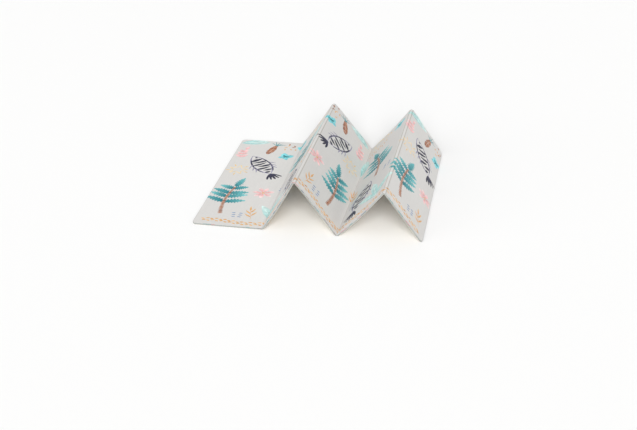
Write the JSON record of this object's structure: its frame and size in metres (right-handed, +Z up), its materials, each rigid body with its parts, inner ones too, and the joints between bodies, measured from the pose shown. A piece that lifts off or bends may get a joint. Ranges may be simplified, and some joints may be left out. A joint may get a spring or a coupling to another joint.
{
  "type": "folding foam baby play mat, stood half unfolded in a zigzag",
  "caption": "Folding foam play mat in a zigzag: one panel lies flat, the others stand as tents, with pressed fold lines, rounded corners and a printed film.",
  "frame": {"origin": "on the floor under the middle of the mat's bounding box", "axes": "+X across the fold lines, from the lying panel to the last standing one; +Y along the fold lines, away from the near end; +Z up"},
  "size_m": [1.0354, 0.9, 0.2485],
  "materials": {
    "printed_film": "fine linen-embossed satin film over soft foam, printed on both sides"
  },
  "bodies": {
    "root": {"play_mat": "printed_film"}
  },
  "joints": []
}
